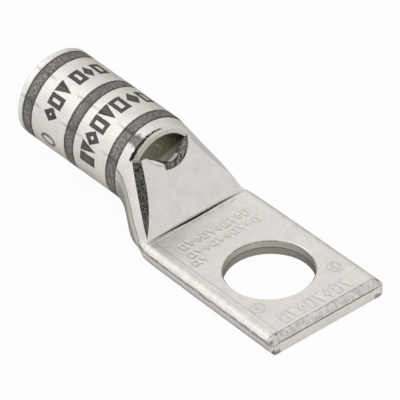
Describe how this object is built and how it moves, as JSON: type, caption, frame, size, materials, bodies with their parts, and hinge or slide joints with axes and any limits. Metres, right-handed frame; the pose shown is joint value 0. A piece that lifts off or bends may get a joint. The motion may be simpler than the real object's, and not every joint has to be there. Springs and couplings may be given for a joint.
{
  "type": "compression lug",
  "caption": "One-hole compression lug: round tube barrel for a stripped wire, a pressed step with a half-moon inspection window, and a flat tongue with a stud hole.",
  "frame": {"origin": "centre of the stud hole at the tongue's seating face", "axes": "+X from the barrel towards the tongue's tip, +Z out of the seating face through the stud hole"},
  "size_m": [0.0607, 0.0214, 0.0149],
  "materials": {
    "tinned_copper": "satin tin plating over copper"
  },
  "bodies": {
    "root": {"lug": "tinned_copper"}
  },
  "joints": []
}
